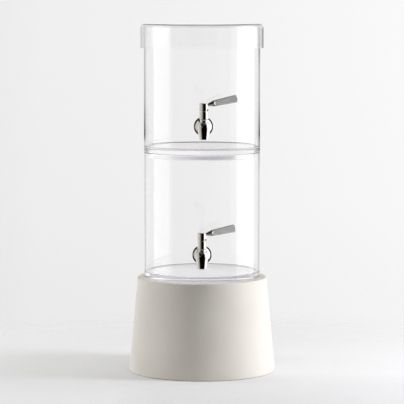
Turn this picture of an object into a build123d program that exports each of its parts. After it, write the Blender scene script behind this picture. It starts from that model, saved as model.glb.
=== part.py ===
from build123d import *
import os
from math import cos, radians, sin

# Two-tier glass drinks dispenser on a ceramic stand.
# Millimetres, +Z up, taps face -Y, origin on the table under the stand's axis.

# ---- driving dimensions -------------------------------------------------
# stand
stand_height = 175.0
stand_top_radius = 119.7
stand_base_radius = 136.0
stand_wall = 9.0
deck_thickness = 10.0
well_radius = 98.8
well_flare = 4.0
well_depth = 15.5
rim_round = 2.0

# vessels
vessel_radius = 107.5
vessel_wall = 4.0
vessel_height = 233.0
floor_height = 10.0
foot_radius = 98.0
foot_depth = 10.0
foot_round = 1.5
floor_round = 2.5
shoulder_round = 2.0
mouth_round = 1.2

# lid
lid_radius = 113.7
lid_wall = 3.5
lid_plate = 3.6
lid_skirt = 41.0
lid_round = 8.0
lid_inner_round = 3.8
skirt_round = 0.3

# taps
tap_height = 53.0
tap_reach = 34.0
upper_turn = 1.4
outlet_drop = 21.8
outlet_radius = 8.4
bulb_radius = 11.6
neck_radius = 6.7
barrel_radius = 8.2
barrel_top = 28.5
collar_radius = 10.6
collar_front = 17.0
collar_back = 26.0
shank_radius = 7.75
shank_root = 7.05
shank_end = 57.0
thread_start = 32.5
thread_pitch = 1.5
shank_bore = 3.6
port_radius = 2.6
plug_radius = 4.0
plug_clearance = 0.05
plug_bottom = -6.9
stem_radius = 3.2
stem_flat = 2.4
stem_top = 40.7
seal_wire = 0.62
seal_centre = 3.40
seal_heights = (9.5, 20.0)
stop_angle = 120.0
stop_height = 26.9
stop_radius = 1.1
hole_radius = 8.5
flange_radius = 17.7
flange_thickness = 5.0
flange_cone_radius = 14.9
flange_cone_depth = 3.6
flange_lip_radius = 16.25
gasket_radius = 16.4
inner_gasket_radius = 15.5
inner_gasket_plane = 42.6
washer_radius = 16.0
washer_thickness = 1.6
nut_flats = 24.0
nut_thickness = 8.0
hub_radius = 8.5
hub_bottom = 29.4
hub_top = 43.7
hub_screw_angle = -40.0
hub_screw_height = 31.5
hub_screw_radius = 1.8
lever_rise = 12.2
stub_radius = 1.75
lever_start = 39.3
lever_end = 60.3
lever_neck = 3.0
lever_shoulder = 5.6
lever_tip = 7.05
lever_half_flat = 4.1
flat_start = 20.6
flat_slope = 58.0
fit_gap = 0.03
gasket_gap = 0.1

# ---- derived ------------------------------------------------------------
inner_radius = vessel_radius - vessel_wall
lower_base = stand_height
upper_base = lower_base + vessel_height
mouth = upper_base + vessel_height
lid_top = mouth + lid_plate
tap_out = vessel_radius + tap_reach
flange_back = collar_back + flange_thickness

os.makedirs("parts", exist_ok=True)

# ---- stand --------------------------------------------------------------
deck_under = stand_height - well_depth - deck_thickness
slope = (stand_base_radius - stand_top_radius) / stand_height
with BuildPart() as stand:
    with BuildSketch(Plane.XZ):
        with BuildLine():
            FilletPolyline(
                (0, deck_under + deck_thickness),
                (well_radius, deck_under + deck_thickness),
                (well_radius + well_flare, stand_height),
                (stand_top_radius, stand_height),
                (stand_base_radius, 0),
                (stand_base_radius - stand_wall, 0),
                (stand_base_radius - stand_wall - slope * deck_under, deck_under),
                (0, deck_under),
                radius=[5.0, 1.5, rim_round, 2.0, 2.0, 8.0],
            )
            Line((0, deck_under), (0, deck_under + deck_thickness))
        make_face()
    revolve(axis=Axis.Z)
stand.part.label = "stand"
export_step(stand.part, "parts/stand.step")

# ---- lid ----------------------------------------------------------------
with BuildPart() as lid:
    with BuildSketch(Plane.XZ):
        with BuildLine():
            FilletPolyline(
                (0, mouth),
                (lid_radius - lid_wall, mouth),
                (lid_radius - lid_wall, mouth - lid_skirt),
                (lid_radius, mouth - lid_skirt),
                (lid_radius, lid_top),
                (0, lid_top),
                radius=[lid_inner_round, skirt_round, skirt_round, lid_round],
            )
            Line((0, lid_top), (0, mouth))
        make_face()
    revolve(axis=Axis.Z)
lid.part.label = "lid"
export_step(lid.part, "parts/lid.step")

# ---- tiers: one vessel and one tap each ---------------------------------
for tier, base, turn in (("lower", lower_base, 0.0), ("upper", upper_base, upper_turn)):
    # tap frame: across points along the lever, inward points at the vessel's axis
    across = Vector(cos(radians(turn)), sin(radians(turn)), 0)
    inward = Vector(-sin(radians(turn)), cos(radians(turn)), 0)
    spot = inward * -tap_out + Vector(0, 0, base + tap_height)
    front = Plane(origin=spot, x_dir=across, z_dir=inward * -1)
    level = Plane(origin=spot, x_dir=across, z_dir=(0, 0, 1))
    beside = Plane(origin=spot, x_dir=inward, z_dir=across)
    tap_axis = Axis(spot, (0, 0, 1))
    shank_axis = Axis(spot, inward)

    # vessel: thick base, solid stepped foot, rounded mouth, hole for the tap
    with BuildPart() as vessel:
        with BuildSketch(Plane.XZ):
            with BuildLine():
                FilletPolyline(
                    (0, base - foot_depth),
                    (foot_radius, base - foot_depth),
                    (foot_radius, base),
                    (vessel_radius, base),
                    (vessel_radius, base + vessel_height),
                    (inner_radius, base + vessel_height),
                    (inner_radius, base + floor_height),
                    (0, base + floor_height),
                    radius=[
                        foot_round,
                        1.0,
                        shoulder_round,
                        mouth_round,
                        mouth_round,
                        floor_round,
                    ],
                )
                Line((0, base + floor_height), (0, base - foot_depth))
            make_face()
        revolve(axis=Axis.Z)
        with BuildSketch(front.offset(-tap_reach + 6)):
            Circle(hole_radius)
        extrude(amount=-20, mode=Mode.SUBTRACT)
    vessel.part.label = tier + "_vessel"
    export_step(vessel.part, "parts/" + tier + "_vessel.step")

    # tap body: nozzle, bulb, neck and barrel turned about the tap axis,
    # collar and threaded shank turned about the shank axis
    threads = []
    along = thread_start
    while along + thread_pitch < shank_end - 0.5:
        threads.append((along, shank_radius))
        threads.append((along + thread_pitch / 2, shank_root))
        along += thread_pitch
    with BuildPart() as tap_body:
        with BuildSketch(front):
            with BuildLine():
                Polyline(
                    (0, barrel_top),
                    (0, -outlet_drop),
                    (outlet_radius - 0.5, -outlet_drop),
                    (outlet_radius, -outlet_drop + 0.5),
                )
                ThreePointArc(
                    (outlet_radius, -outlet_drop + 0.5),
                    (bulb_radius - 1.15, -9.0),
                    (bulb_radius, 1.6),
                )
                ThreePointArc(
                    (bulb_radius, 1.6),
                    (bulb_radius - 1.25, 6.6),
                    (neck_radius + 0.4, 9.7),
                )
                ThreePointArc(
                    (neck_radius + 0.4, 9.7),
                    (neck_radius, 11.6),
                    (barrel_radius, 15.2),
                )
                Polyline(
                    (barrel_radius, 15.2),
                    (barrel_radius, barrel_top - 0.15),
                    (barrel_radius - 0.15, barrel_top),
                    (0, barrel_top),
                )
            make_face()
        revolve(axis=tap_axis)
        with BuildSketch(beside):
            with BuildLine():
                Polyline(
                    (0, 0),
                    (0, 8.0),
                    (collar_front, 8.0),
                    (collar_front + 4.0, collar_radius),
                    (collar_back, collar_radius),
                    (collar_back, shank_radius),
                    *threads,
                    (along, shank_radius),
                    (shank_end - 0.6, shank_radius),
                    (shank_end, shank_radius - 0.6),
                    (shank_end, 0),
                    (0, 0),
                )
            make_face()
        revolve(axis=shank_axis)
        # plug bore, outlet and inlet
        with BuildSketch(front):
            with BuildLine():
                Polyline(
                    (0, barrel_top + 1),
                    (plug_radius + plug_clearance, barrel_top + 1),
                    (plug_radius + plug_clearance, -7.0),
                    (shank_bore, -7.0),
                    (shank_bore, -13.0),
                    (outlet_radius - 1.6, -outlet_drop - 0.4),
                    (0, -outlet_drop - 0.4),
                    (0, barrel_top + 1),
                )
            make_face()
        revolve(axis=tap_axis, mode=Mode.SUBTRACT)
        with BuildSketch(beside):
            with BuildLine():
                Polyline(
                    (0, 0),
                    (0, port_radius),
                    (7.0, port_radius),
                    (8.0, shank_bore),
                    (shank_end + 1, shank_bore),
                    (shank_end + 1, 0),
                    (0, 0),
                )
            make_face()
        revolve(axis=shank_axis, mode=Mode.SUBTRACT)
        # tapped hole for the stop screw
        stop_out = across * cos(radians(stop_angle)) + inward * sin(radians(stop_angle))
        stop_plane = Plane(
            origin=spot + Vector(0, 0, stop_height), x_dir=(0, 0, 1), z_dir=stop_out
        )
        with BuildSketch(stop_plane):
            Circle(stop_radius + fit_gap)
        extrude(amount=barrel_radius + 2, mode=Mode.SUBTRACT)
    tap_body.part.label = tier + "_tap_body"
    export_step(tap_body.part, "parts/" + tier + "_tap_body.step")

    # stop screw: socket grub screw whose tip runs in the plug's slot
    with BuildPart() as stop_screw:
        with BuildSketch(stop_plane.offset(plug_radius + plug_clearance + 0.05)):
            Circle(stop_radius)
        extrude(amount=barrel_radius - plug_radius - 0.4)
        with BuildSketch(stop_plane.offset(plug_radius - 0.9)):
            Circle(stop_radius - 0.35)
        extrude(amount=2.0)
        with BuildSketch(stop_plane.offset(barrel_radius - 1.3)):
            RegularPolygon(0.7, 6)
        extrude(amount=2, mode=Mode.SUBTRACT)
    stop_screw.part.label = tier + "_stop_screw"
    export_step(stop_screw.part, "parts/" + tier + "_stop_screw.step")

    # flange: polished cone that flattens to a lip with a rounded edge
    with BuildPart() as tap_flange:
        with BuildSketch(beside):
            with BuildLine():
                Polyline(
                    (collar_back, shank_radius + 0.2),
                    (flange_back, shank_radius + 0.2),
                    (flange_back, flange_radius - 0.3),
                    (flange_back - 0.3, flange_radius),
                    (flange_back - 0.45, flange_radius),
                )
                ThreePointArc(
                    (flange_back - 0.45, flange_radius),
                    (flange_back - 0.86, flange_radius - 0.75),
                    (collar_back + flange_cone_depth + 0.4, flange_lip_radius),
                )
                Polyline(
                    (collar_back + flange_cone_depth + 0.4, flange_lip_radius),
                    (collar_back + flange_cone_depth, flange_cone_radius),
                    (collar_back, collar_radius + 0.4),
                    (collar_back, shank_radius + 0.2),
                )
            make_face()
        revolve(axis=shank_axis)
    tap_flange.part.label = tier + "_tap_flange"
    export_step(tap_flange.part, "parts/" + tier + "_tap_flange.step")

    # outer gasket: flat to the flange, curved to the glass
    with BuildPart() as outer_gasket:
        with BuildSketch(front.offset(-flange_back)):
            Circle(gasket_radius)
            Circle(shank_radius + 0.25, mode=Mode.SUBTRACT)
        extrude(amount=-8)
        with BuildSketch(Plane.XY.offset(base)):
            Circle(vessel_radius + gasket_gap)
        extrude(amount=2 * tap_height, mode=Mode.SUBTRACT)
    outer_gasket.part.label = tier + "_outer_gasket"
    export_step(outer_gasket.part, "parts/" + tier + "_outer_gasket.step")

    # inner gasket: curved to the glass, flat to the washer
    with BuildPart() as inner_gasket:
        with BuildSketch(front.offset(-inner_gasket_plane)):
            Circle(inner_gasket_radius)
            Circle(shank_radius + 0.25, mode=Mode.SUBTRACT)
        extrude(amount=8)
        with BuildSketch(Plane.XY.offset(base)):
            Circle(inner_radius - gasket_gap)
        extrude(amount=2 * tap_height, mode=Mode.INTERSECT)
    inner_gasket.part.label = tier + "_inner_gasket"
    export_step(inner_gasket.part, "parts/" + tier + "_inner_gasket.step")

    # washer and hexagon lock nut
    with BuildPart() as inner_washer:
        with BuildSketch(front.offset(-inner_gasket_plane)):
            Circle(washer_radius)
            Circle(shank_radius + 0.2, mode=Mode.SUBTRACT)
        extrude(amount=-washer_thickness)
        fillet(inner_washer.edges().filter_by(GeomType.CIRCLE).group_by(SortBy.RADIUS)[-1], 0.4)
    inner_washer.part.label = tier + "_inner_washer"
    export_step(inner_washer.part, "parts/" + tier + "_inner_washer.step")

    nut_plane = inner_gasket_plane + washer_thickness
    with BuildPart() as lock_nut:
        with BuildSketch(front.offset(-nut_plane)):
            RegularPolygon(nut_flats / 2, 6, major_radius=False)
        extrude(amount=-nut_thickness)
        with BuildSketch(beside):
            with BuildLine():
                Polyline(
                    (nut_plane, 0),
                    (nut_plane, nut_flats / 2 + 0.1),
                    (nut_plane + 1.0, nut_flats / 2 + 1.9),
                    (nut_plane + nut_thickness - 1.0, nut_flats / 2 + 1.9),
                    (nut_plane + nut_thickness, nut_flats / 2 + 0.1),
                    (nut_plane + nut_thickness, 0),
                    (nut_plane, 0),
                )
            make_face()
        revolve(axis=shank_axis, mode=Mode.INTERSECT)
        with BuildSketch(front.offset(-nut_plane)):
            Circle(shank_radius + fit_gap)
        extrude(amount=-nut_thickness, mode=Mode.SUBTRACT)
    lock_nut.part.label = tier + "_lock_nut"
    export_step(lock_nut.part, "parts/" + tier + "_lock_nut.step")

    # the hub screw points in from the front, on the lever's side
    screw_out = across * cos(radians(hub_screw_angle)) + inward * sin(radians(hub_screw_angle))
    screw_level = Plane(origin=spot, x_dir=screw_out.cross(Vector(0, 0, 1)), z_dir=(0, 0, 1))
    screw_plane = Plane(
        origin=spot + Vector(0, 0, hub_screw_height), x_dir=(0, 0, 1), z_dir=screw_out
    )

    # valve plug: closed with its port turned away from the shank
    with BuildPart() as valve_plug:
        with BuildSketch(front):
            with BuildLine():
                outline = [(0, plug_bottom), (plug_radius - 0.3, plug_bottom)]
                outline.append((plug_radius, plug_bottom + 0.3))
                for height in seal_heights:
                    outline.append((plug_radius, height - 0.85))
                    outline.append((seal_centre - seal_wire - 0.03, height - 0.85))
                    outline.append((seal_centre - seal_wire - 0.03, height + 0.85))
                    outline.append((plug_radius, height + 0.85))
                outline.append((plug_radius, hub_bottom - 0.05))
                outline.append((stem_radius, hub_bottom - 0.05))
                outline.append((stem_radius, stem_top - 0.3))
                outline.append((stem_radius - 0.3, stem_top))
                outline.append((0, stem_top))
                Polyline(*outline, close=True)
            make_face()
        revolve(axis=tap_axis)
        # flat on the stem, facing the hub screw
        with BuildSketch(screw_level.offset(hub_bottom - 0.05)):
            with Locations((0, stem_flat + 2)):
                Rectangle(10, 4)
        extrude(amount=20, mode=Mode.SUBTRACT)
        # water way: up from below, out to one side
        with BuildSketch(level.offset(plug_bottom)):
            Circle(port_radius)
        extrude(amount=port_radius - plug_bottom, mode=Mode.SUBTRACT)
        port_plane = Plane(origin=spot, x_dir=(0, 0, 1), z_dir=across * -1)
        with BuildSketch(port_plane):
            Circle(port_radius)
        extrude(amount=plug_radius + 1, mode=Mode.SUBTRACT)
        # slot for the stop screw, a quarter turn long
        slot_from = stop_angle - 20.0
        slot_plane = Plane(
            origin=spot,
            x_dir=across * cos(radians(slot_from)) + inward * sin(radians(slot_from)),
            z_dir=across * sin(radians(slot_from)) - inward * cos(radians(slot_from)),
        )
        with BuildSketch(slot_plane):
            with Locations((plug_radius, stop_height)):
                Rectangle(3.0, 2.7)
        revolve(axis=tap_axis, revolution_arc=130.0, mode=Mode.SUBTRACT)
    valve_plug.part.label = tier + "_valve_plug"
    export_step(valve_plug.part, "parts/" + tier + "_valve_plug.step")

    # two seal rings on the plug
    with BuildPart() as plug_seals:
        with BuildSketch(front):
            with Locations(*[(seal_centre, height) for height in seal_heights]):
                Circle(seal_wire)
        revolve(axis=tap_axis)
    plug_seals.part.label = tier + "_plug_seals"
    export_step(plug_seals.part, "parts/" + tier + "_plug_seals.step")

    # lever hub: cap on the plug's stem
    rise = across * cos(radians(lever_rise)) + Vector(0, 0, sin(radians(lever_rise)))
    crest = Vector(0, 0, cos(radians(lever_rise))) - across * sin(radians(lever_rise))
    pivot = spot + Vector(0, 0, lever_start)
    lever_plane = Plane(origin=pivot, x_dir=rise, z_dir=inward * -1)
    socket_plane = Plane(origin=pivot, x_dir=crest, z_dir=rise)
    with BuildPart() as lever_hub:
        with BuildSketch(level.offset(hub_bottom)):
            Circle(hub_radius)
        extrude(amount=hub_top - hub_bottom)
        fillet(lever_hub.edges().group_by(Axis.Z)[-1], 1.1)
        chamfer(lever_hub.edges().group_by(Axis.Z)[0], 0.12)
        with BuildSketch(screw_level.offset(hub_bottom)):
            Circle(stem_radius + fit_gap)
            with Locations((0, stem_flat + fit_gap + 2)):
                Rectangle(10, 4, mode=Mode.SUBTRACT)
        extrude(amount=stem_top + 0.2 - hub_bottom, mode=Mode.SUBTRACT)
        with BuildSketch(socket_plane.offset(4.1)):
            Circle(stub_radius + fit_gap)
        extrude(amount=6, mode=Mode.SUBTRACT)
        with BuildSketch(screw_plane.offset(stem_flat)):
            Circle(hub_screw_radius + fit_gap)
        extrude(amount=9, mode=Mode.SUBTRACT)
    lever_hub.part.label = tier + "_lever_hub"
    export_step(lever_hub.part, "parts/" + tier + "_lever_hub.step")

    # hub screw: socket grub screw low in the hub, against the stem's flat
    with BuildPart() as hub_screw:
        with BuildSketch(screw_plane.offset(stem_flat + 0.02)):
            Circle(hub_screw_radius)
        extrude(amount=4.4)
        with BuildSketch(screw_plane.offset(stem_flat + 2.9)):
            RegularPolygon(0.95, 6)
        extrude(amount=3, mode=Mode.SUBTRACT)
    hub_screw.part.label = tier + "_hub_screw"
    export_step(hub_screw.part, "parts/" + tier + "_hub_screw.step")

    # lever handle: tapered bar with a milled flat on each side, which runs out in a slope
    with BuildPart() as lever_handle:
        with BuildSketch(lever_plane):
            with BuildLine():
                FilletPolyline(
                    (4.3, 0),
                    (4.3, stub_radius),
                    (hub_radius - 1.1, stub_radius),
                    (hub_radius - 1.1, lever_neck),
                    (hub_radius + 0.6, lever_neck),
                    (17.6, lever_shoulder),
                    (36.0, lever_shoulder + 0.6),
                    (lever_end, lever_tip),
                    (lever_end + 0.9, 0),
                    radius=[0, 0, 0, 2.0, 14.0, 0, 2.6],
                )
                Line((lever_end + 0.9, 0), (4.3, 0))
            make_face()
        revolve(axis=Axis(pivot, rise))
        # neck meets the round hub
        with BuildSketch(level.offset(hub_bottom)):
            Circle(hub_radius + fit_gap)
            Circle(5.0, mode=Mode.SUBTRACT)
        hub_ring = extrude(amount=20, mode=Mode.PRIVATE)
        with BuildSketch(socket_plane.offset(3.0)):
            Circle(20)
            Circle(stub_radius, mode=Mode.SUBTRACT)
        around_stub = extrude(amount=8, mode=Mode.PRIVATE)
        add(hub_ring.intersect(around_stub), mode=Mode.SUBTRACT)
        for side in (1, -1):
            with BuildSketch(lever_plane.offset(side * lever_half_flat)):
                with Locations((flat_start + 40, 0)):
                    SlotOverall(80, 14.6)
            extrude(amount=side * 6, taper=-flat_slope, mode=Mode.SUBTRACT)
    lever_handle.part.label = tier + "_lever_handle"
    export_step(lever_handle.part, "parts/" + tier + "_lever_handle.step")
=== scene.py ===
from math import acos, atan2, ceil, cos, degrees, hypot, pi, radians, sin, sqrt, tan

import bpy
from mathutils import Matrix, Vector


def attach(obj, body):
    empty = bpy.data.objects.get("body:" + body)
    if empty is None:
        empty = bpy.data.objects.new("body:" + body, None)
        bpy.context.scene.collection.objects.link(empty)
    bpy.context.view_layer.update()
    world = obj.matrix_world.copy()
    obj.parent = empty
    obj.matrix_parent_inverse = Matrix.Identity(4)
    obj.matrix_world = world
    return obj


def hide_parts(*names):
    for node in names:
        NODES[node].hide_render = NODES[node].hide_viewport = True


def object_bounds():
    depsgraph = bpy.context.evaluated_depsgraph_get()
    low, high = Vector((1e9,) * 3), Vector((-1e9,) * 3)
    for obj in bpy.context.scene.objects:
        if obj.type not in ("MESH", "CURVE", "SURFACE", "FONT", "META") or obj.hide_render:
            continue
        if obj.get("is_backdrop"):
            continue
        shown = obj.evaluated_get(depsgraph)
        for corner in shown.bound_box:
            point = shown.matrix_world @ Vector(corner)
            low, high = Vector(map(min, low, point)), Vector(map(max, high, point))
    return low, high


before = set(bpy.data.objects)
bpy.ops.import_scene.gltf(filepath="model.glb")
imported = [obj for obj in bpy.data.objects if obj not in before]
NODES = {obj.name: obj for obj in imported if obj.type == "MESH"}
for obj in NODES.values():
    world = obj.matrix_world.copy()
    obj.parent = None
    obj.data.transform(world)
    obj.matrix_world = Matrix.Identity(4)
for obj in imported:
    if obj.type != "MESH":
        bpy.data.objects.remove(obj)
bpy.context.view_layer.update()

MM = 0.001

# sizes of the turned pieces, in millimetres, as in the CAD model
STAND_H, STAND_TOP, STAND_BASE, STAND_WALL = 175.0, 119.7, 136.0, 9.0
DECK, WELL_R, WELL_D, WELL_FLARE = 10.0, 98.8, 15.5, 4.0
VESSEL_R, VESSEL_WALL, VESSEL_H, FLOOR_H = 107.5, 4.0, 233.0, 10.0
FOOT_R, FOOT_D = 98.0, 10.0
LID_R, LID_WALL, LID_PLATE, LID_SKIRT = 113.7, 3.5, 3.6, 41.0
TAP_H, TAP_REACH, HOLE_R = 53.0, 34.0, 8.5
UPPER_TURN = 1.4
LOWER_Z, UPPER_Z = STAND_H, STAND_H + VESSEL_H
MOUTH = UPPER_Z + VESSEL_H
LID_TOP = MOUTH + LID_PLATE


# ---- turned meshes with exact normals --------------------------------------
def outline(points, radii, step=6.0):
    """A profile in (radius, height), with its corners rounded, as spans (start, end, normal at start, normal at end)."""
    pts = [Vector(p) for p in points]
    area = sum(a.x * b.y - b.x * a.y for a, b in zip(pts, pts[1:] + pts[:1]))
    side = 1.0 if area > 0 else -1.0

    def normal(d):
        return Vector((d.y, -d.x)) * side

    spans = []
    here = pts[0]
    for i in range(1, len(pts)):
        d1 = (pts[i] - pts[i - 1]).normalized()
        r = radii[i - 1] if i < len(pts) - 1 else 0.0
        if r <= 0.0:
            if (pts[i] - here).length > 1e-6:
                spans.append((here, pts[i], normal(d1), normal(d1)))
            here = pts[i]
            continue
        d2 = (pts[i + 1] - pts[i]).normalized()
        turn = atan2(d1.x * d2.y - d1.y * d2.x, d1.dot(d2))
        cut = r * tan(abs(turn) / 2)
        a, b = pts[i] - d1 * cut, pts[i] + d2 * cut
        if (a - here).length > 1e-6:
            spans.append((here, a, normal(d1), normal(d1)))
        left = Vector((-d1.y, d1.x)) * (1 if turn > 0 else -1)
        centre = a + left * r
        count = max(2, ceil(abs(degrees(turn)) / step))
        last, last_n = a, normal(d1)
        for k in range(1, count + 1):
            t = turn * k / count
            spoke = a - centre
            p = centre + Vector(
                (
                    spoke.x * cos(t) - spoke.y * sin(t),
                    spoke.x * sin(t) + spoke.y * cos(t),
                )
            )
            n0 = normal(d1)
            n = Vector((n0.x * cos(t) - n0.y * sin(t), n0.x * sin(t) + n0.y * cos(t)))
            spans.append((last, p, last_n, n))
            last, last_n = p, n
        here = b
        spans[-1] = (spans[-1][0], b, spans[-1][2], normal(d2))
    return spans


def split_span(spans, at, low, high, count):
    """Cuts the upright span at radius `at` into rows: its two ends, and `count` even rows between the heights low and high."""
    out, rows = [], None
    for a, b, na, nb in spans:
        if (
            abs(a.x - at) < 1e-4
            and abs(b.x - at) < 1e-4
            and min(a.y, b.y) < low
            and max(a.y, b.y) > high
        ):
            heights = [low + (high - low) * k / count for k in range(count + 1)]
            if a.y > b.y:
                heights.reverse()
            marks = [a] + [Vector((at, h)) for h in heights] + [b]
            rows = (len(out) + 1, len(out) + 1 + count, a.y > b.y)
            out += [(p, q, na, nb) for p, q in zip(marks, marks[1:])]
        else:
            out.append((a, b, na, nb))
    return out, rows


class Solid:
    """Collects faces with a normal at each corner, in millimetres, and makes a mesh in metres."""

    def __init__(self):
        self.verts, self.faces, self.normals = [], [], []

    def point(self, p):
        self.verts.append(Vector(p))
        return len(self.verts) - 1

    def face(self, ids, normals):
        flat = sum((Vector(n) for n in normals), Vector((0, 0, 0)))
        a = self.verts[ids[0]]
        facing = Vector((0, 0, 0))
        for p, q in zip(ids[1:], ids[2:]):
            facing += (self.verts[p] - a).cross(self.verts[q] - a)
        if facing.dot(flat) < 0:
            ids, normals = ids[::-1], normals[::-1]
        self.faces.append(ids)
        self.normals += [Vector(n).normalized() for n in normals]

    def object(self, name, spin=0.0):
        turn = Matrix.Rotation(radians(spin), 3, "Z")
        mesh = bpy.data.meshes.new(name)
        mesh.from_pydata([turn @ v * MM for v in self.verts], [], self.faces)
        mesh.polygons.foreach_set("use_smooth", [True] * len(mesh.polygons))
        mesh.normals_split_custom_set([turn @ n for n in self.normals])
        mesh.update()
        made = bpy.data.objects.new(name, mesh)
        bpy.context.scene.collection.objects.link(made)
        return made


def turn_profile(spans, count, skip=None):
    """A solid of revolution about Z. skip(span number, column) leaves a face out. Returns it and its grid of point numbers."""
    made = Solid()
    rings = []
    for p in [s[0] for s in spans] + [spans[-1][1]]:
        if p.x < 1e-6:
            rings.append([made.point((0, 0, p.y))] * count)
        else:
            rings.append(
                [
                    made.point(
                        (
                            p.x * cos(2 * pi * j / count),
                            p.x * sin(2 * pi * j / count),
                            p.y,
                        )
                    )
                    for j in range(count)
                ]
            )
    for k, (a, b, na, nb) in enumerate(spans):
        for j in range(count):
            if skip and skip(k, j):
                continue
            i = (j + 1) % count
            c0, s0 = cos(2 * pi * j / count), sin(2 * pi * j / count)
            c1, s1 = cos(2 * pi * (j + 1) / count), sin(2 * pi * (j + 1) / count)
            ids = [rings[k][j], rings[k][i], rings[k + 1][i], rings[k + 1][j]]
            norms = [
                (na.x * c0, na.x * s0, na.y),
                (na.x * c1, na.x * s1, na.y),
                (nb.x * c1, nb.x * s1, nb.y),
                (nb.x * c0, nb.x * s0, nb.y),
            ]
            if ids[0] == ids[1]:
                ids, norms = ids[1:], norms[1:]
            elif ids[2] == ids[3]:
                ids, norms = ids[:3], norms[:3]
            made.face(ids, norms)
    return made, rings


def vessel_solid(base):
    """The vessel with its thick base, stepped foot and tap hole. The hole is a ring of faces fitted into the wall."""
    columns, half, rows = 288, 7, 14
    inner = VESSEL_R - VESSEL_WALL
    spans = outline(
        [
            (0, base - FOOT_D),
            (FOOT_R, base - FOOT_D),
            (FOOT_R, base),
            (VESSEL_R, base),
            (VESSEL_R, base + VESSEL_H),
            (inner, base + VESSEL_H),
            (inner, base + FLOOR_H),
            (0, base + FLOOR_H),
        ],
        [1.5, 1.0, 2.0, 1.2, 1.2, 2.5],
    )
    centre = base + TAP_H
    reach = 16.0
    spans, outer_rows = split_span(spans, VESSEL_R, centre - reach, centre + reach, rows)
    spans, inner_rows = split_span(spans, inner, centre - reach, centre + reach, rows)
    front = columns * 3 // 4
    gone = {
        k
        for lo, hi, _ in (outer_rows, inner_rows)
        for k in range(lo, hi)
    }
    made, rings = turn_profile(
        spans,
        columns,
        lambda k, j: k in gone and front - half <= j < front + half,
    )
    holes = []
    for (lo, hi, falling), radius, sign in (
        (outer_rows, VESSEL_R, 1.0),
        (inner_rows, inner, -1.0),
    ):
        order = list(range(lo, hi + 1))
        if falling:
            order.reverse()
        edge = [(order[0], front - half + i) for i in range(2 * half)]
        edge += [(order[i], front + half) for i in range(rows)]
        edge += [(order[-1], front + half - i) for i in range(2 * half)]
        edge += [(order[rows - i], front - half) for i in range(rows)]
        outer_ring = [rings[k][j] for k, j in edge]
        count = len(outer_ring)
        start = radians(-135.0)
        goal = [
            (
                HOLE_R * cos(start + 2 * pi * i / count),
                centre + HOLE_R * sin(start + 2 * pi * i / count),
            )
            for i in range(count)
        ]
        loops = [outer_ring]
        for t in (0.68, 0.42, 0.2, 0.06, 0.0):
            loop = []
            for i, ring_id in enumerate(outer_ring):
                far = made.verts[ring_id]
                x = goal[i][0] + (far.x - goal[i][0]) * t
                z = goal[i][1] + (far.z - goal[i][1]) * t
                loop.append(made.point((x, -sqrt(radius * radius - x * x), z)))
            loops.append(loop)
        for out_loop, in_loop in zip(loops, loops[1:]):
            for i in range(count):
                ids = [
                    out_loop[i],
                    out_loop[(i + 1) % count],
                    in_loop[(i + 1) % count],
                    in_loop[i],
                ]
                made.face(
                    ids,
                    [
                        Vector((made.verts[v].x, made.verts[v].y, 0)) * sign
                        for v in ids
                    ],
                )
        holes.append(loops[-1])
    count = len(holes[0])
    for i in range(count):
        ids = [
            holes[0][i],
            holes[0][(i + 1) % count],
            holes[1][(i + 1) % count],
            holes[1][i],
        ]
        made.face(
            ids,
            [
                Vector((-made.verts[v].x, 0, centre - made.verts[v].z))
                for v in ids
            ],
        )
    return made


def stand_solid():
    under = STAND_H - WELL_D - DECK
    slope = (STAND_BASE - STAND_TOP) / STAND_H
    spans = outline(
        [
            (0, under + DECK),
            (WELL_R, under + DECK),
            (WELL_R + WELL_FLARE, STAND_H),
            (STAND_TOP, STAND_H),
            (STAND_BASE, 0),
            (STAND_BASE - STAND_WALL, 0),
            (STAND_BASE - STAND_WALL - slope * under, under),
            (0, under),
        ],
        [5.0, 1.5, 2.0, 2.0, 2.0, 8.0],
    )
    return turn_profile(spans, 288)[0]


def lid_solid():
    spans = outline(
        [
            (0, MOUTH),
            (LID_R - LID_WALL, MOUTH),
            (LID_R - LID_WALL, MOUTH - LID_SKIRT),
            (LID_R, MOUTH - LID_SKIRT),
            (LID_R, LID_TOP),
            (0, LID_TOP),
        ],
        [3.8, 0.3, 0.3, 8.0],
    )
    return turn_profile(spans, 288)[0]


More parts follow.
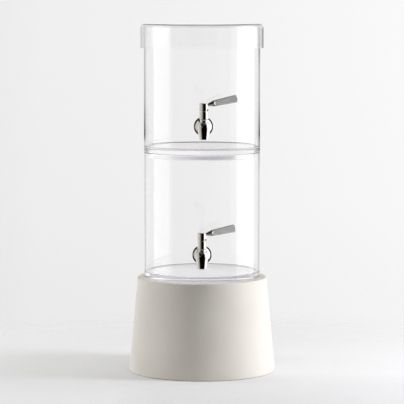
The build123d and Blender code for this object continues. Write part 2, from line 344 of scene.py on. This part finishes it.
# ---- materials ----------------------------------------------------------------
class Nodes:
    """A material's node tree, with short ways to add and join nodes."""

    def __init__(self, name):
        self.mat = bpy.data.materials.new(name)
        self.mat.use_nodes = True
        self.tree = self.mat.node_tree
        self.tree.nodes.clear()
        self.out = self.add("ShaderNodeOutputMaterial")

    def add(self, kind, **settings):
        made = self.tree.nodes.new(kind)
        for k, v in settings.items():
            setattr(made, k, v)
        return made

    def link(self, a, b):
        self.tree.links.new(a, b)

    def coords(self, scale=(1, 1, 1), turn=(0, 0, 0)):
        where = self.add("ShaderNodeTexCoord")
        placed = self.add("ShaderNodeMapping")
        placed.inputs["Scale"].default_value = scale
        placed.inputs["Rotation"].default_value = [radians(a) for a in turn]
        self.link(where.outputs["Object"], placed.inputs["Vector"])
        return placed.outputs["Vector"]

    def noise(self, vector, scale, detail=2.0, rough=0.5):
        made = self.add("ShaderNodeTexNoise")
        made.inputs["Scale"].default_value = scale
        made.inputs["Detail"].default_value = detail
        made.inputs["Roughness"].default_value = rough
        self.link(vector, made.inputs["Vector"])
        return made.outputs["Fac"]

    def ramp(self, value, stops, smooth=False):
        made = self.add("ShaderNodeValToRGB")
        made.color_ramp.interpolation = "EASE" if smooth else "LINEAR"
        marks = made.color_ramp.elements
        while len(marks) < len(stops):
            marks.new(0.5)
        for mark, (at, colour) in zip(marks, stops):
            mark.position = at
            if isinstance(colour, (int, float)):
                colour = (colour, colour, colour)
            mark.color = (*colour, 1.0)
        self.link(value, made.inputs["Fac"])
        return made.outputs["Color"]

    def range(self, value, low, high, from_low=0.0, from_high=1.0):
        made = self.add("ShaderNodeMapRange")
        made.inputs["From Min"].default_value = from_low
        made.inputs["From Max"].default_value = from_high
        made.inputs["To Min"].default_value = low
        made.inputs["To Max"].default_value = high
        self.link(value, made.inputs["Value"])
        return made.outputs["Result"]

    def math(self, kind, a, b=None):
        made = self.add("ShaderNodeMath", operation=kind)
        for socket, v in zip(made.inputs, (a, b)):
            if v is None:
                continue
            if isinstance(v, (int, float)):
                socket.default_value = v
            else:
                self.link(v, socket)
        return made.outputs[0]

    def bump(self, height, strength, distance):
        made = self.add("ShaderNodeBump")
        made.inputs["Strength"].default_value = strength
        made.inputs["Distance"].default_value = distance
        self.link(height, made.inputs["Height"])
        return made.outputs["Normal"]

    def principled(self, **values):
        made = self.add("ShaderNodeBsdfPrincipled")
        for k, v in values.items():
            made.inputs[k.replace("_", " ")].default_value = v
        return made

    def finish(self, shader):
        self.link(shader, self.out.inputs["Surface"])
        return self.mat


def glass(name, edge, tint):
    """Clear glass: painted shade greys the outer wall at near-grazing angles, in place of dark edge reflections; faint
    waves and wipe marks. Lamps shine through it.
    """
    n = Nodes(name)
    facing = n.add("ShaderNodeLayerWeight")
    facing.inputs["Blend"].default_value = 0.5
    walls = n.add("ShaderNodeNewGeometry")
    split = n.add("ShaderNodeSeparateXYZ")
    n.link(walls.outputs["Normal"], split.inputs["Vector"])
    upright = n.range(n.math("ABSOLUTE", split.outputs["Z"]), 1.0, 0.0, 0.03, 0.12)
    # painted shade: the tint turns to the edge colour towards grazing angles on upright walls
    shade = n.ramp(facing.outputs["Facing"], [(0.72, 0.0), (0.80, 1.0), (0.86, 1.0), (0.91, 0.35)])
    # the painted shade falls on the outer wall alone, not the bore
    place = n.add("ShaderNodeSeparateXYZ")
    n.link(n.add("ShaderNodeTexCoord").outputs["Object"], place.inputs["Vector"])
    wide = n.math("SQRT", n.math("ADD", n.math("MULTIPLY", place.outputs["X"], place.outputs["X"]), n.math("MULTIPLY", place.outputs["Y"], place.outputs["Y"])))
    upright = n.math("MULTIPLY", upright, n.range(wide, 0.0, 1.0, 0.1050, 0.1056))
    wipes = n.noise(n.coords((1, 1, 0.25)), 60.0, 3.0)
    haze = n.ramp(wipes, [(0.40, tint), (0.75, tuple(0.992 * c for c in tint))])
    mixed = n.add("ShaderNodeMix", data_type="RGBA")
    n.link(n.math("MULTIPLY", upright, shade), mixed.inputs["Factor"])
    n.link(haze, mixed.inputs["A"])
    mixed.inputs["B"].default_value = (*edge, 1.0)
    waves = n.bump(n.noise(n.coords(), 9.0, 1.0), 0.002, 0.002)
    body = n.principled(IOR=1.49, Transmission_Weight=1.0, Roughness=0.0)
    n.link(mixed.outputs["Result"], body.inputs["Base Color"])
    n.link(waves, body.inputs["Normal"])
    clear = n.add("ShaderNodeBsdfTransparent")
    clear.inputs["Color"].default_value = (0.99, 0.99, 0.995, 1)
    path = n.add("ShaderNodeLightPath")
    passes = n.math(
        "MAXIMUM", path.outputs["Is Shadow Ray"], path.outputs["Is Diffuse Ray"]
    )
    mix = n.add("ShaderNodeMixShader")
    n.link(passes, mix.inputs["Fac"])
    n.link(body.outputs["BSDF"], mix.inputs[1])
    n.link(clear.outputs["BSDF"], mix.inputs[2])
    return n.finish(mix.outputs["Shader"])


def glaze(name):
    """Satin cream glaze: soft mottling, pin speckle, a slightly uneven surface."""
    n = Nodes(name)
    where = n.coords()
    cloud = n.noise(where, 14.0, 4.0)
    cream = n.ramp(cloud, [(0.3, (0.725, 0.69, 0.62)), (0.7, (0.765, 0.73, 0.66))])
    speck = n.noise(where, 900.0, 1.0)
    dots = n.ramp(speck, [(0.70, 1.0), (0.76, 0.90)])
    mixed = n.add("ShaderNodeMix", data_type="RGBA", blend_type="MULTIPLY")
    mixed.inputs["Factor"].default_value = 1.0
    n.link(cream, mixed.inputs["A"])
    n.link(dots, mixed.inputs["B"])
    # painted light: the well that takes the foot is made paler, to brighten what shows through the glass base
    split = n.add("ShaderNodeSeparateXYZ")
    n.link(n.add("ShaderNodeTexCoord").outputs["Object"], split.inputs["Vector"])
    wide = n.math("SQRT", n.math("ADD", n.math("MULTIPLY", split.outputs["X"], split.outputs["X"]), n.math("MULTIPLY", split.outputs["Y"], split.outputs["Y"])))
    painted_light_in_well = n.math("MULTIPLY", n.range(wide, 1.0, 0.0, 0.1025, 0.1035), n.range(split.outputs["Z"], 0.0, 1.0, 0.156, 0.157))
    painted_light_white = n.ramp(cloud, [(0.3, (0.80, 0.79, 0.815)), (0.7, (0.82, 0.81, 0.835))])
    toned = n.add("ShaderNodeMix", data_type="RGBA")
    n.link(painted_light_in_well, toned.inputs["Factor"])
    n.link(mixed.outputs["Result"], toned.inputs["A"])
    n.link(painted_light_white, toned.inputs["B"])
    body = n.principled(IOR=1.5)
    n.link(toned.outputs["Result"], body.inputs["Base Color"])
    n.link(n.range(n.noise(where, 40.0, 3.0), 0.36, 0.50), body.inputs["Roughness"])
    fine = n.noise(where, 220.0, 3.0)
    slow = n.noise(n.coords((1, 1, 2.0)), 20.0, 2.0)
    both = n.math("ADD", n.math("MULTIPLY", slow, 1.0), n.math("MULTIPLY", fine, 0.15))
    n.link(n.bump(both, 0.25, 0.0006), body.inputs["Normal"])
    return n.finish(body.outputs["BSDF"])


def polished(name):
    """Polished steel: mirror bright, with hairline wipe marks in the gloss."""
    n = Nodes(name)
    hair = n.noise(n.coords((40, 40, 900), (18, 0, 31)), 3.0, 4.0)
    smear = n.noise(n.coords(), 220.0, 3.0)
    body = n.principled(Metallic=1.0)
    tone = n.ramp(smear, [(0.3, (0.64, 0.63, 0.61)), (0.7, (0.69, 0.68, 0.66))])
    n.link(tone, body.inputs["Base Color"])
    rough = n.math(
        "ADD", n.range(hair, 0.04, 0.07, 0.35, 0.75), n.range(smear, 0.0, 0.03, 0.5, 0.8)
    )
    n.link(rough, body.inputs["Roughness"])
    n.link(n.bump(hair, 0.03, 0.00004), body.inputs["Normal"])
    return n.finish(body.outputs["BSDF"])


def brushed(name, turn, low, high, rough=(0.22, 0.38), scale=(120, 2600, 2600)):
    """Satin steel with the brush lines along one direction."""
    n = Nodes(name)
    where = n.coords(scale, turn)
    lines = n.noise(where, 1.0, 4.0, 0.6)
    cloud = n.noise(n.coords(), 160.0, 2.0)
    body = n.principled(Metallic=1.0)
    n.link(n.ramp(lines, [(0.3, low), (0.7, high)]), body.inputs["Base Color"])
    both = n.math("ADD", n.math("MULTIPLY", lines, 0.7), n.math("MULTIPLY", cloud, 0.3))
    n.link(n.range(both, rough[0], rough[1], 0.35, 0.65), body.inputs["Roughness"])
    n.link(n.bump(lines, 0.15, 0.00005), body.inputs["Normal"])
    return n.finish(body.outputs["BSDF"])


def lever_look(name, turn):
    """Lever: satin milled flats with lines along the bar, and a polished neck and edges."""
    n = Nodes(name)
    lines = n.noise(n.coords((90, 2600, 1500), turn), 1.0, 4.0, 0.6)
    cloud = n.noise(n.coords((0.5, 1, 1), turn), 170.0, 2.0)
    grain = n.math("ADD", n.math("MULTIPLY", lines, 0.65), n.math("MULTIPLY", cloud, 0.35))
    split = n.add("ShaderNodeSeparateXYZ")
    n.link(n.add("ShaderNodeTexCoord").outputs["Normal"], split.inputs["Vector"])
    flat = n.range(n.math("ABSOLUTE", split.outputs["Y"]), 0.0, 1.0, 0.988, 0.995)
    satin = n.ramp(grain, [(0.38, (0.86, 0.835, 0.80)), (0.62, (0.99, 0.975, 0.95))])
    shine = n.ramp(grain, [(0.30, (0.56, 0.55, 0.53)), (0.70, (0.62, 0.61, 0.59))])
    tone = n.add("ShaderNodeMix", data_type="RGBA")
    n.link(flat, tone.inputs["Factor"])
    n.link(shine, tone.inputs["A"])
    n.link(satin, tone.inputs["B"])
    body = n.principled(Metallic=1.0)
    n.link(tone.outputs["Result"], body.inputs["Base Color"])
    n.link(n.range(flat, 1.0, 0.15), body.inputs["Metallic"])
    rough = n.math("ADD", n.range(grain, 0.08, 0.13, 0.35, 0.65), n.math("MULTIPLY", flat, 0.56))
    n.link(rough, body.inputs["Roughness"])
    n.link(n.bump(lines, 0.12, 0.00005), body.inputs["Normal"])
    return n.finish(body.outputs["BSDF"])


def rubbery(name, dark, light, rough=(0.5, 0.7), fine=700.0):
    n = Nodes(name)
    where = n.coords()
    grain = n.noise(where, fine, 3.0)
    body = n.principled(IOR=1.42)
    n.link(n.ramp(grain, [(0.35, dark), (0.65, light)]), body.inputs["Base Color"])
    n.link(n.range(grain, rough[0], rough[1], 0.3, 0.7), body.inputs["Roughness"])
    n.link(n.bump(grain, 0.2, 0.00008), body.inputs["Normal"])
    return n.finish(body.outputs["BSDF"])


# the first colour is the painted edge shade of the glass, the second its tint
clear_glass = glass("clear_glass_look", (0.34, 0.33, 0.36), (0.989, 0.988, 0.991))
lid_glass = glass("lid_glass_look", (0.46, 0.45, 0.48), (0.989, 0.988, 0.991))
cream = glaze("cream_glaze_look")
steel = polished("polished_steel_look")
lever_low = lever_look("lower_lever_look", (0, 12.2, 0))
lever_up = lever_look("upper_lever_look", (0, 12.2, -1.4))
plain = brushed("plain_steel_look", (0, 0, 0), (0.50, 0.50, 0.50), (0.60, 0.60, 0.60), (0.25, 0.4), (2200, 2200, 2200))
dark = brushed("dark_steel_look", (0, 0, 0), (0.006, 0.006, 0.006), (0.014, 0.014, 0.014), (0.4, 0.6), (2200, 2200, 2200))
silicone = rubbery("silicone_look", (0.70, 0.70, 0.68), (0.80, 0.80, 0.78))
rubber = rubbery("black_rubber_look", (0.012, 0.012, 0.012), (0.03, 0.03, 0.03))

# ---- pieces ---------------------------------------------------------------------
def stands_for(made, node, body, mat):
    made.data.materials.append(mat)
    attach(made, body)
    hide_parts(node)
    return made


stands_for(stand_solid().object("glazed_stand"), "stand", "stand", cream)
stands_for(lid_solid().object("glass_lid"), "lid", "lid", lid_glass)
stands_for(vessel_solid(LOWER_Z).object("lower_glass"), "lower_vessel", "lower_tier", clear_glass)
stands_for(vessel_solid(UPPER_Z).object("upper_glass", UPPER_TURN), "upper_vessel", "upper_tier", clear_glass)

looks = {
    "tap_body": steel,
    "tap_flange": steel,
    "lever_hub": steel,
    "stop_screw": dark,
    "hub_screw": dark,
    "outer_gasket": silicone,
    "inner_gasket": silicone,
    "inner_washer": plain,
    "lock_nut": plain,
    "valve_plug": plain,
    "plug_seals": rubber,
}
for tier, lever in (("lower", lever_low), ("upper", lever_up)):
    for piece, mat in {**looks, "lever_handle": lever}.items():
        data = NODES[f"{tier}_{piece}"].data
        data.materials.clear()
        data.materials.append(mat)

# ---- floor, world, lamps, camera ---------------------------------------------
floor_mesh = bpy.data.meshes.new("floor")
count = 128
ring = [(cos(2 * pi * i / count), sin(2 * pi * i / count)) for i in range(count)]
verts, faces = [(0, 0, 0)], []
steps = [0.2, 0.5, 1.0, 2.0, 4.0]
for r in steps:
    verts += [(r * x, r * y, 0) for x, y in ring]
for i in range(count):
    faces.append((0, 1 + i, 1 + (i + 1) % count))
    for k in range(len(steps) - 1):
        a, b = 1 + k * count, 1 + (k + 1) * count
        faces.append((a + i, b + i, b + (i + 1) % count, a + (i + 1) % count))
floor_mesh.from_pydata(verts, [], faces)
floor = bpy.data.objects.new("floor", floor_mesh)
bpy.context.scene.collection.objects.link(floor)
floor.location.z = -0.0002
floor.visible_glossy = False
floor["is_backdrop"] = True

n = Nodes("floor_look")
where = n.coords()
away = n.add("ShaderNodeVectorMath", operation="LENGTH")
n.link(where, away.inputs[0])
grain = n.noise(where, 30.0, 3.0)
paper = n.principled(Roughness=0.9)
paper.inputs["Specular IOR Level"].default_value = 0.0
# painted light: the floor is paler towards the back
depth = n.add("ShaderNodeSeparateXYZ")
n.link(where, depth.inputs["Vector"])
tone = n.ramp(
    n.range(depth.outputs["Y"], 0.0, 1.0, -0.35, 0.55),
    [(0.044, 0.735), (0.206, 0.75), (0.289, 0.775), (0.349, 0.80), (0.478, 0.82), (0.639, 0.845), (0.944, 0.90)],
)
# and painted light: paler at the front left and close by on the right, away from the stand's shade
painted_light_front_left = n.math(
    "MULTIPLY",
    n.range(depth.outputs["X"], 1.0, 0.0, -0.16, -0.07),
    n.range(depth.outputs["Y"], 1.0, 0.0, -0.30, -0.16),
)
painted_light_close_right = n.math(
    "MULTIPLY",
    n.range(depth.outputs["X"], 0.0, 1.0, 0.08, 0.16),
    n.math("MULTIPLY", n.range(depth.outputs["Y"], 0.0, 0.5, -0.20, -0.05), n.range(depth.outputs["Y"], 1.0, 0.0, 0.10, 0.22)),
)
for share, painted_light_level in ((painted_light_front_left, 0.81), (painted_light_close_right, 0.90)):
    paler = n.add("ShaderNodeMix", data_type="RGBA")
    n.link(share, paler.inputs["Factor"])
    n.link(tone, paler.inputs["A"])
    paler.inputs["B"].default_value = (painted_light_level, painted_light_level, painted_light_level, 1.0)
    tone = paler.outputs["Result"]
speckled = n.add("ShaderNodeMix", data_type="RGBA", blend_type="MULTIPLY")
speckled.inputs["Factor"].default_value = 1.0
n.link(tone, speckled.inputs["A"])
n.link(n.ramp(grain, [(0.3, 0.985), (0.7, 1.0)]), speckled.inputs["B"])
n.link(speckled.outputs["Result"], paper.inputs["Base Color"])
gone = n.add("ShaderNodeBsdfTransparent")
seen = n.range(away.outputs["Value"], 0.0, 1.0, 0.20, 0.90)
seen.node.interpolation_type = "SMOOTHERSTEP"
lit = n.range(away.outputs["Value"], 0.0, 1.0, 0.9, 1.1)
bounce = n.add("ShaderNodeLightPath").outputs["Is Diffuse Ray"]
fade = n.math("ADD", n.math("MULTIPLY", lit, bounce), n.math("MULTIPLY", seen, n.math("SUBTRACT", 1.0, bounce)))
mix = n.add("ShaderNodeMixShader")
n.link(fade, mix.inputs["Fac"])
n.link(paper.outputs["BSDF"], mix.inputs[1])
n.link(gone.outputs["BSDF"], mix.inputs[2])
floor_mesh.materials.append(n.finish(mix.outputs["Shader"]))

world = bpy.data.worlds.new("studio")
bpy.context.scene.world = world
world.use_nodes = True
world.cycles.sampling_method = "NONE"
w = Nodes("unused_studio")
bpy.data.materials.remove(w.mat)
w.tree = world.node_tree
w.tree.nodes.clear()
w.out = w.add("ShaderNodeOutputWorld")
toward = w.add("ShaderNodeTexCoord")
part = w.add("ShaderNodeSeparateXYZ")
w.link(toward.outputs["Generated"], part.inputs["Vector"])
x, y, z = part.outputs
# plain backdrop, a little brighter to the right and towards the top
across = w.ramp(
    w.range(x, 0.0, 1.0, -0.12, 0.12),
    [(0.14, 0.835), (0.20, 0.855), (0.35, 0.865), (0.50, 0.88), (0.65, 0.905), (0.75, 0.92), (0.86, 0.937)],
)
upwards = w.ramp(w.range(z, 0.0, 1.0, -0.16, 0.0), [(0.16, 0.970), (0.42, 0.998), (0.82, 1.012)])
shaded = w.add("ShaderNodeMix", data_type="RGBA", blend_type="MULTIPLY")
shaded.inputs["Factor"].default_value = 1.0
w.link(across, shaded.inputs["A"])
w.link(upwards, shaded.inputs["B"])
backdrop = shaded.outputs["Result"]
# what shiny surfaces see round the studio: soft panels left and right, dark behind the camera
azimuth = w.math("ARCTAN2", x, w.math("MULTIPLY", y, -1.0))
spot = w.range(azimuth, 0.0, 1.0, -pi, pi)


def at(deg):
    return (deg + 180.0) / 360.0


def high(deg):
    return (sin(radians(deg)) + 1.0) / 2.0


def blend(share, a, b):
    made = w.add("ShaderNodeMix", data_type="RGBA")
    for key, v in (("Factor", share), ("A", a), ("B", b)):
        w.link(v, made.inputs[key])
    return made.outputs["Result"]


rise = w.range(z, 0.0, 1.0, -1.0, 1.0)
panels = w.ramp(
    spot,
    [
        (at(-180), (1.20, 1.20, 1.20)),
        (at(-120), (1.20, 1.19, 1.17)),
        (at(-113), (0.80, 0.78, 0.75)),
        (at(-64), (0.80, 0.78, 0.74)),
        (at(-59), (0.64, 0.60, 0.53)),
        (at(-40), (0.42, 0.375, 0.30)),
        (at(-24), (0.15, 0.13, 0.10)),
        (at(-14), (0.002, 0.002, 0.002)),
        (at(46), (0.002, 0.002, 0.002)),
        (at(55), (1.30, 1.30, 1.30)),
        (at(72), (1.90, 1.90, 1.90)),
        (at(124), (1.90, 1.90, 1.90)),
        (at(130), (1.25, 1.25, 1.25)),
        (at(180), (1.20, 1.20, 1.20)),
    ],
)
lower_panels = w.ramp(
    spot,
    [
        (at(-180), (1.20, 1.20, 1.20)),
        (at(-120), (1.20, 1.19, 1.17)),
        (at(-113), (0.80, 0.78, 0.75)),
        (at(-78), (0.80, 0.78, 0.74)),
        (at(-58), (0.42, 0.375, 0.30)),
        (at(-42), (0.002, 0.002, 0.002)),
        (at(60), (0.002, 0.002, 0.002)),
        (at(68), (1.30, 1.30, 1.30)),
        (at(82), (1.90, 1.90, 1.90)),
        (at(124), (1.90, 1.90, 1.90)),
        (at(130), (1.25, 1.25, 1.25)),
        (at(180), (1.20, 1.20, 1.20)),
    ],
)
upper_panels = w.ramp(
    spot,
    [
        (at(-180), (0.22, 0.215, 0.21)),
        (at(-142), (0.22, 0.215, 0.21)),
        (at(-122), (0.80, 0.78, 0.75)),
        (at(-72), (0.80, 0.78, 0.74)),
        (at(-56), (0.42, 0.375, 0.30)),
        (at(-42), (0.002, 0.002, 0.002)),
        (at(54), (0.002, 0.002, 0.002)),
        (at(62), (1.30, 1.30, 1.30)),
        (at(76), (1.90, 1.90, 1.90)),
        (at(124), (1.90, 1.90, 1.90)),
        (at(142), (0.22, 0.215, 0.21)),
        (at(180), (0.22, 0.215, 0.21)),
    ],
)
panels = blend(w.ramp(rise, [(high(-14), 1.0), (high(-8), 0.0)]), panels, lower_panels)
panels = blend(w.ramp(rise, [(high(-2), 0.0), (high(5), 1.0)]), panels, upper_panels)
# below: the pale table, but not in front. straight above and below the steel it is dim.
front = w.ramp(spot, [(at(-42), 0.0), (at(-24), 1.0), (at(44), 1.0), (at(62), 0.0)])
table = w.ramp(rise, [(high(-42), 1.0), (high(-28), 0.0)])
ceiling = w.ramp(rise, [(high(34), 0.0), (high(50), 1.0)])
dim = w.ramp(spot, [(0.0, (0.13, 0.125, 0.12)), (1.0, (0.13, 0.125, 0.12))])
beside = w.math("MULTIPLY", table, w.math("SUBTRACT", 1.0, front))
around = blend(beside, panels, w.ramp(spot, [(0.0, 0.38), (1.0, 0.38)]))
# and high in front it is dark, and the table's far edge shows low in front
deep = w.ramp(spot, [(0.0, 0.03), (1.0, 0.03)])
high_front = w.math(
    "MULTIPLY",
    w.ramp(spot, [(at(-80), 0.0), (at(-62), 1.0), (at(44), 1.0), (at(55), 0.0)]),
    w.ramp(rise, [(high(18), 0.0), (high(28), 1.0)]),
)
around = blend(high_front, around, deep)
top_front = w.math(
    "MULTIPLY",
    w.ramp(spot, [(at(-122), 0.0), (at(-110), 1.0), (at(44), 1.0), (at(55), 0.0)]),
    w.ramp(rise, [(high(43), 0.0), (high(49), 1.0)]),
)
around = blend(top_front, around, deep)
low_front = w.math(
    "MULTIPLY",
    w.ramp(spot, [(at(-42), 0.0), (at(-30), 1.0), (at(44), 1.0), (at(62), 0.0)]),
    w.ramp(rise, [(high(-54), 0.0), (high(-47), 1.0), (high(-36), 1.0), (high(-29), 0.0)]),
)
around = blend(low_front, around, w.ramp(spot, [(0.0, 0.70), (1.0, 0.70)]))
around = blend(w.ramp(rise, [(high(-66), 1.0), (high(-54), 0.0)]), around, dim)
around = blend(w.ramp(rise, [(high(56), 0.0), (high(68), 1.0)]), around, dim)
# the glass mirrors a pale room with a bright strip on each side, and a dim horizon far behind at its outermost edges
strips = w.ramp(
    spot,
    [
        (at(-152), 0.86),
        (at(-113), 0.86),
        (at(-109), 1.35),
        (at(-64), 1.35),
        (at(-60), 0.80),
        (at(71), 0.80),
        (at(75), 2.00),
        (at(124), 2.00),
        (at(128), 0.86),
        (at(152), 0.86),
    ],
)

def skyline(stops):
    return w.ramp(w.range(z, 0.0, 1.0, sin(radians(-9.0)), sin(radians(1.0))), stops)


def above(stops):
    """Values by elevation from 1 to 9 degrees."""
    span = sin(radians(9.0)) - sin(radians(1.0))
    return w.ramp(
        w.range(z, 0.0, 1.0, sin(radians(1.0)), sin(radians(9.0))),
        [((sin(radians(d)) - sin(radians(1.0))) / span, v) for d, v in stops],
    )


left_side = w.ramp(spot, [(0.495, 1.0), (0.505, 0.0)])
horizon = blend(
    left_side,
    skyline(
        [
            (0.00, 0.87),
            (0.37, 0.87),
            (0.45, 0.85),
            (0.495, 0.60),
            (0.525, 0.38),
            (0.54, 0.10),
            (0.554, 0.20),
            (0.584, 0.35),
            (0.63, 0.58),
            (0.705, 0.66),
            (0.76, 0.40),
            (0.86, 0.40),
            (0.93, 0.95),
        ]
    ),
    skyline(
        [
            (0.00, 0.87),
            (0.45, 0.87),
            (0.505, 0.86),
            (0.520, 0.80),
            (0.530, 0.38),
            (0.54, 0.10),
            (0.554, 0.20),
            (0.584, 0.35),
            (0.63, 0.58),
            (0.705, 0.68),
            (0.80, 0.74),
            (0.87, 0.76),
            (0.93, 0.95),
        ]
    ),
)
# just above the horizon: what the glass floors and the solid feet throw back
floor_back = w.ramp(
    spot,
    [
        (at(-180), (0.80, 0.77, 0.765)),
        (at(-174), (0.90, 0.885, 0.90)),
        (at(-152), (0.97, 0.97, 1.0)),
        (at(152), (0.97, 0.97, 1.0)),
        (at(174), (0.90, 0.885, 0.90)),
        (at(180), (0.80, 0.77, 0.765)),
    ],
)
foot_back = w.ramp(
    spot,
    [
        (at(-180), (0.43, 0.405, 0.45)),
        (at(-168), (0.44, 0.43, 0.465)),
        (at(-157), (0.55, 0.54, 0.585)),
        (at(-152), (0.46, 0.45, 0.49)),
        (at(152), (0.62, 0.61, 0.66)),
        (at(158), (0.74, 0.71, 0.76)),
        (at(170), (0.62, 0.59, 0.65)),
        (at(180), (0.43, 0.405, 0.45)),
    ],
)
upward = w.ramp(spot, [(0.0, 0.95), (1.0, 0.95)])
upward = blend(above([(2.6, 0.0), (3.4, 1.0)]), upward, floor_back)
upward = blend(above([(3.99, 0.0), (4.08, 1.0)]), upward, foot_back)
upward = blend(above([(4.5, 0.0), (5.2, 1.0)]), upward, w.ramp(spot, [(0.0, 0.90), (1.0, 0.90)]))
horizon = blend(w.ramp(rise, [(high(0.9), 0.0), (high(1.1), 1.0)]), horizon, upward)
far = w.ramp(spot, [(at(-158), 1.0), (at(-152), 0.0), (at(152), 0.0), (at(158), 1.0)])
strips = blend(far, strips, horizon)
pale = w.ramp(spot, [(0.0, 1.0), (1.0, 1.0)])
strips = blend(ceiling, blend(table, strips, pale), pale)
# high up at the back left, and low at the back right, the studio is dim for rays that cross a whole vessel
crossed = w.math("GREATER_THAN", w.add("ShaderNodeLightPath").outputs["Transmission Depth"], 3.5)
back = w.ramp(spot, [(at(-178), 0.0), (at(-174), 1.0), (at(-152), 1.0), (at(-138), 0.0)])
steep = w.ramp(rise, [(high(11), 0.0), (high(18), 1.0), (high(66), 1.0), (high(76), 0.0)])
shadow = w.ramp(spot, [(0.0, 0.14), (1.0, 0.14)])
left_back = w.ramp(spot, [(at(-178), 0.0), (at(-174), 1.0), (at(-116), 1.0), (at(-104), 0.0)])
low_back = w.ramp(spot, [(at(140), 0.0), (at(150), 1.0), (at(174), 1.0), (at(178), 0.0)])
for side, level in (
    (back, steep),
    (left_back, w.ramp(rise, [(high(46), 0.0), (high(54), 1.0)])),
    (low_back, w.ramp(rise, [(high(-30), 1.0), (high(-22), 0.0)])),
):
    strips = blend(w.math("MULTIPLY", crossed, w.math("MULTIPLY", side, level)), strips, shadow)
# overhead light for the floor and the tops, and the pale table from below
over = w.ramp(rise, [(high(-4), 0.10), (high(0), 0.02), (high(44.5), 0.02), (high(55), (1.38, 1.375, 1.33))])
# what is seen straight through the glass: the backdrop, with a dark band low right behind
low_band = w.ramp(rise, [(high(-84), 0.0), (high(-76), 1.0), (high(-12.5), 1.0), (high(-8.5), 0.0)])
middle = w.range(w.math("ABSOLUTE", x), 1.0, 0.0, 0.06, 0.12)
behind = blend(w.math("MULTIPLY", low_band, middle), backdrop, w.ramp(spot, [(0.0, 0.05), (1.0, 0.05)]))
path = w.add("ShaderNodeLightPath")
straight = w.math(
    "MULTIPLY",
    path.outputs["Is Transmission Ray"],
    w.math("LESS_THAN", path.outputs["Glossy Depth"], 0.5),
)
seen = blend(path.outputs["Is Singular Ray"], around, strips)
seen = blend(path.outputs["Is Diffuse Ray"], seen, over)
seen = blend(straight, seen, behind)
seen = blend(path.outputs["Is Camera Ray"], seen, backdrop)
glow = w.add("ShaderNodeBackground")
w.link(seen, glow.inputs["Color"])
w.link(glow.outputs["Background"], w.out.inputs["Surface"])


def panel(name, place, aim, wide, tall, radiance, colour=(1, 1, 1)):
    lamp = bpy.data.lights.new(name, "AREA")
    lamp.shape = "RECTANGLE"
    lamp.size, lamp.size_y = wide, tall
    lamp.energy = radiance * pi * wide * tall
    lamp.color = colour
    made = bpy.data.objects.new(name, lamp)
    made.location = place
    made.rotation_euler = (Vector(aim) - Vector(place)).to_track_quat("-Z", "Y").to_euler()
    bpy.context.scene.collection.objects.link(made)
    made.visible_camera = made.visible_glossy = made.visible_transmission = False
    return made


panel("right_panel", (1.27, -0.24, 0.55), (0, 0, 0.25), 0.42, 1.0, 12.4, (0.99, 0.985, 1.06))
panel("left_panel", (-1.30, 0.0, 0.55), (0, 0, 0.25), 0.6, 1.0, 4.3, (0.99, 0.99, 1.04))

lens = bpy.data.cameras.new("camera")
lens.sensor_width = 36.0
lens.lens = 2259.7 / 404 * 36.0
lens.clip_end = 100
lens.shift_x = 0.0
eye = bpy.data.objects.new("camera", lens)
eye.location = (0.0, -4.1815, 0.7011)
eye.rotation_euler = (radians(90 - 5.288), 0, 0)
bpy.context.scene.collection.objects.link(eye)
bpy.context.scene.camera = eye

view = bpy.context.scene.view_settings
view.view_transform = "Standard"
view.look = "None"
cycles = bpy.context.scene.cycles
cycles.max_bounces = 128
cycles.transmission_bounces = 48
cycles.glossy_bounces = 40
cycles.transparent_max_bounces = 24
cycles.use_denoising = True

low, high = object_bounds()
